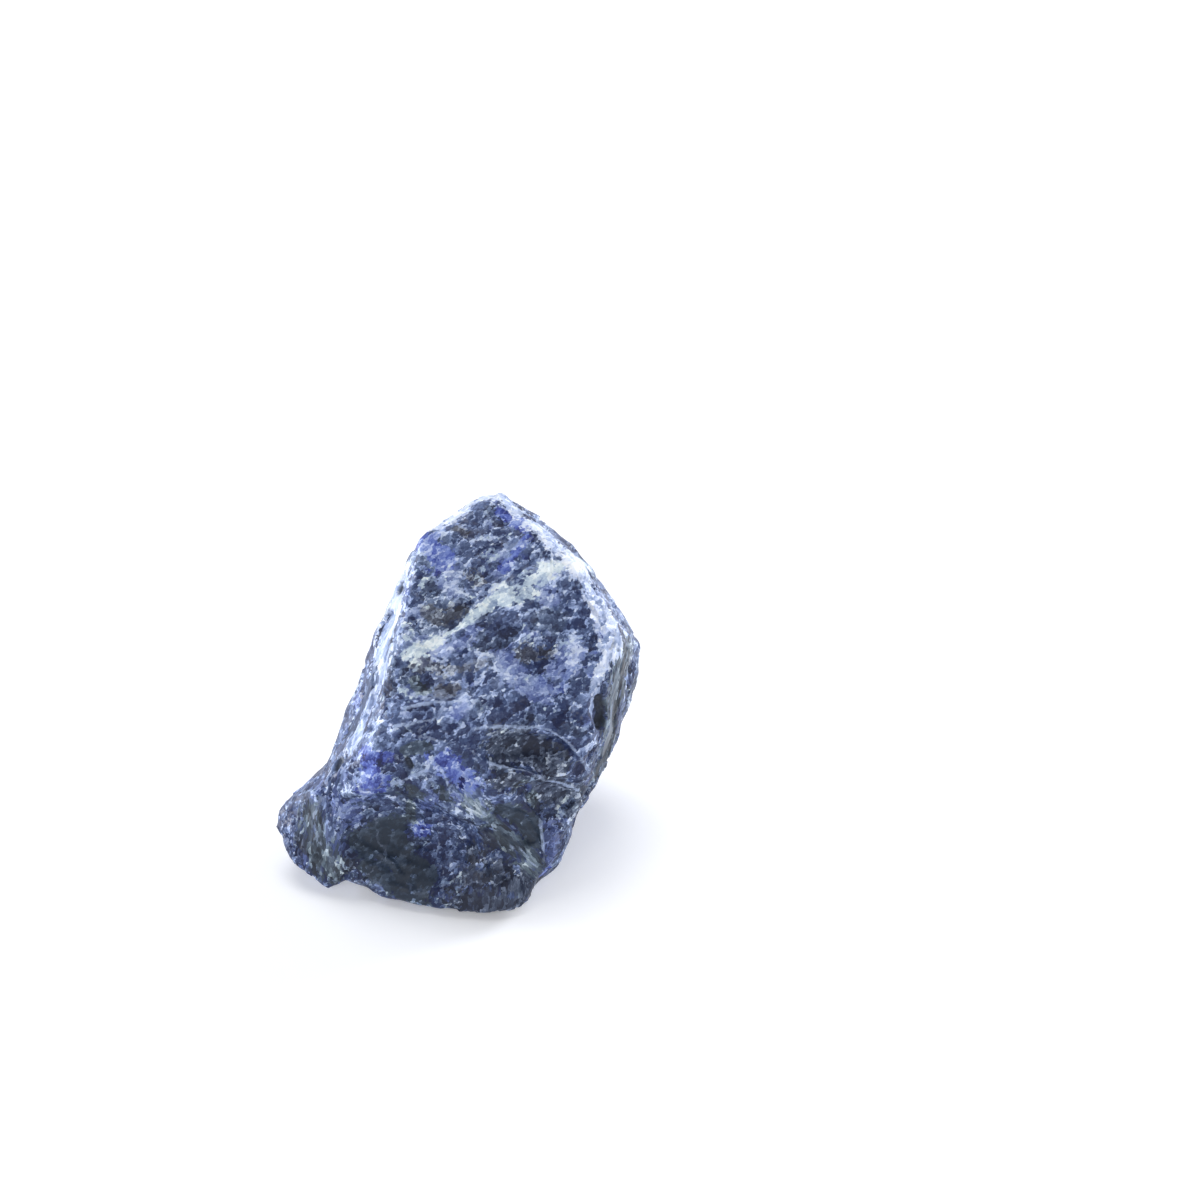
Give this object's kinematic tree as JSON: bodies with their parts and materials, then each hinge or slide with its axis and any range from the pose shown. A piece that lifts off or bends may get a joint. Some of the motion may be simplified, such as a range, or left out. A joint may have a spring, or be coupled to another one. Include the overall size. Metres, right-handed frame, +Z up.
{
  "type": "rough sodalite",
  "caption": "Rough lump of blue sodalite with a sloping broad face, a low side knob, curved fracture hollows and a small flat spot to rest on.",
  "frame": {"origin": "on the ground, under the middle of the stone's box", "axes": "+Z up from the flat spot, -Y out of the front with the broad face, +X to the right seen from the front, away from the knob"},
  "size_m": [0.0385, 0.0316, 0.0348],
  "materials": {
    "sodalite": "broken, fine-grained, glassy where it cleaved"
  },
  "bodies": {
    "root": {"sodalite": "sodalite"}
  },
  "joints": []
}
